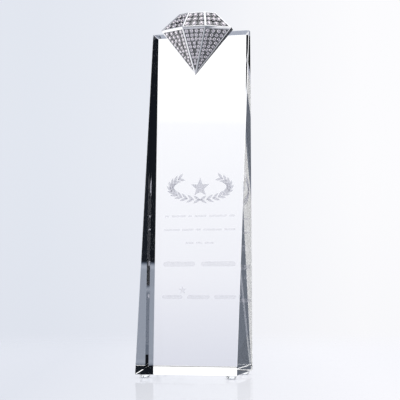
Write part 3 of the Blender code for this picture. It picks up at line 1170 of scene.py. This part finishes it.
    def surround(self, tree, direction):
        """The plain backdrop, cool on the left and almost white on the right."""
        ramp = add_node(tree, "ValToRGB")
        stops = ramp.color_ramp.elements
        stops[0].color = (0.765, 0.799, 0.871, 1.0)
        stops[1].color = (0.973, 0.973, 0.991, 1.0)
        stops.new(0.36).color = (0.805, 0.831, 0.896, 1.0)
        stops.new(0.66).color = (0.913, 0.921, 0.956, 1.0)
        tree.links.new(self.left_to_right(tree, direction), ramp.inputs["Fac"])
        parts = add_node(tree, "SeparateXYZ")
        tree.links.new(direction, parts.inputs["Vector"])
        lower = self.ramp(tree, parts.outputs["Z"], 0.11, -0.13)
        dim = {"B": (0.955, 0.955, 0.965, 1.0)}
        shade = add_node(tree, "Mix", dim, data_type="RGBA", blend_type="MULTIPLY")
        tree.links.new(lower, shade.inputs["Factor"])
        tree.links.new(ramp.outputs["Color"], shade.inputs["A"])
        return shade.outputs["Result"]

    def backdrop(self, tree, heading, height, value):
        """Lay the graded backdrop behind the award over the surround."""
        low, high = self.BACKDROP[0][0], self.BACKDROP[-1][0]
        bottom, top = math.sin(math.radians(low)), math.sin(math.radians(high))
        spread = add_node(tree, "MapRange", {"From Min": bottom, "From Max": top})
        tree.links.new(height, spread.inputs["Value"])
        ramp = add_node(tree, "ValToRGB")
        stops = ramp.color_ramp.elements
        for elevation, brightness in self.BACKDROP:
            place = (math.sin(math.radians(elevation)) - bottom) / (top - bottom)
            if elevation == low:
                stop = stops[0]
            elif elevation == high:
                stop = stops[len(stops) - 1]
            else:
                stop = stops.new(place)
            stop.color = (brightness, brightness, brightness, 1.0)
        tree.links.new(spread.outputs["Result"], ramp.inputs["Fac"])
        mask = self.card_mask(tree, heading, height, -16.0, 27.0, low, 40.0)
        return self.mix(tree, mask, value, ramp.outputs["Color"])

    def cards(self, tree, heading, height, value, cards):
        """Lay soft-edged cards over a brightness and return the new brightness."""
        for azimuth, half_width, low, high, brightness in cards:
            mask = self.card_mask(tree, heading, height, azimuth, half_width, low, high)
            value = self.mix(tree, mask, value, brightness)
        return value

    def card_mask(self, tree, heading, height, azimuth, half_width, low, high):
        """1 inside a card and 0 outside it."""
        masks = []
        if half_width < 180:
            angle = math.radians(azimuth)
            middle = {1: (math.sin(angle), math.cos(angle), 0.0)}
            toward = add_node(tree, "VectorMath", middle, operation="DOT_PRODUCT")
            tree.links.new(heading, toward.inputs[0])
            outer = math.cos(math.radians(half_width + 0.6))
            inner = math.cos(math.radians(half_width - 0.6))
            masks.append(self.ramp(tree, toward.outputs["Value"], outer, inner))
        if low > -90:
            edges = [math.sin(math.radians(low + soft)) for soft in (-0.2, 0.2)]
            masks.append(self.ramp(tree, height, *edges))
        if high < 90:
            edges = [math.sin(math.radians(high - soft)) for soft in (-0.2, 0.2)]
            masks.append(self.ramp(tree, height, *edges))
        mask = masks[0]
        for other in masks[1:]:
            both = add_node(tree, "Math", operation="MULTIPLY")
            tree.links.new(mask, both.inputs[0])
            tree.links.new(other, both.inputs[1])
            mask = both.outputs["Value"]
        return mask

    def mix(self, tree, factor, first, second):
        """Blend from the first value to the second, either of which may be a number."""
        mix = add_node(tree, "Mix", data_type="FLOAT")
        tree.links.new(factor, mix.inputs["Factor"])
        for source, target in ((first, mix.inputs["A"]), (second, mix.inputs["B"])):
            if isinstance(source, float):
                target.default_value = source
            else:
                tree.links.new(source, target)
        return mix.outputs["Result"]

    def ramp(self, tree, value, start, end):
        """A smooth step from 0 at the start to 1 at the end."""
        limits = {"From Min": start, "From Max": end}
        step = add_node(tree, "MapRange", limits, interpolation_type="SMOOTHSTEP")
        tree.links.new(value, step.inputs["Value"])
        return step.outputs["Result"]


class AWARD_PT_panel(bpy.types.Panel):
    """Buttons for each piece of the award"""

    bl_label = "Crystal Award"
    bl_idname = "AWARD_PT_panel"
    bl_space_type = "VIEW_3D"
    bl_region_type = "UI"
    bl_category = "Award"

    def draw(self, context):
        for operator in OPERATORS:
            self.layout.operator(operator.bl_idname)


OPERATORS = (
    AWARD_OT_block,
    AWARD_OT_feet,
    AWARD_OT_casting,
    AWARD_OT_stones,
    AWARD_OT_engraving,
    AWARD_OT_studio,
)
CLASSES = (AwardEmblemSizes, AwardColours, *OPERATORS, AWARD_PT_panel)


def register():
    for cls in CLASSES:
        bpy.utils.register_class(cls)
    bpy.types.Scene.award_emblem = bpy.props.PointerProperty(type=AwardEmblemSizes)
    bpy.types.Scene.award_colours = bpy.props.PointerProperty(type=AwardColours)


def unregister():
    del bpy.types.Scene.award_colours
    del bpy.types.Scene.award_emblem
    for cls in reversed(CLASSES):
        bpy.utils.unregister_class(cls)


def main():
    register()
    bpy.ops.award.block()
    bpy.ops.award.feet()
    bpy.ops.award.casting()
    bpy.ops.award.stones()
    bpy.ops.award.engraving()
    bpy.ops.award.studio()


if __name__ == "__main__":
    main()
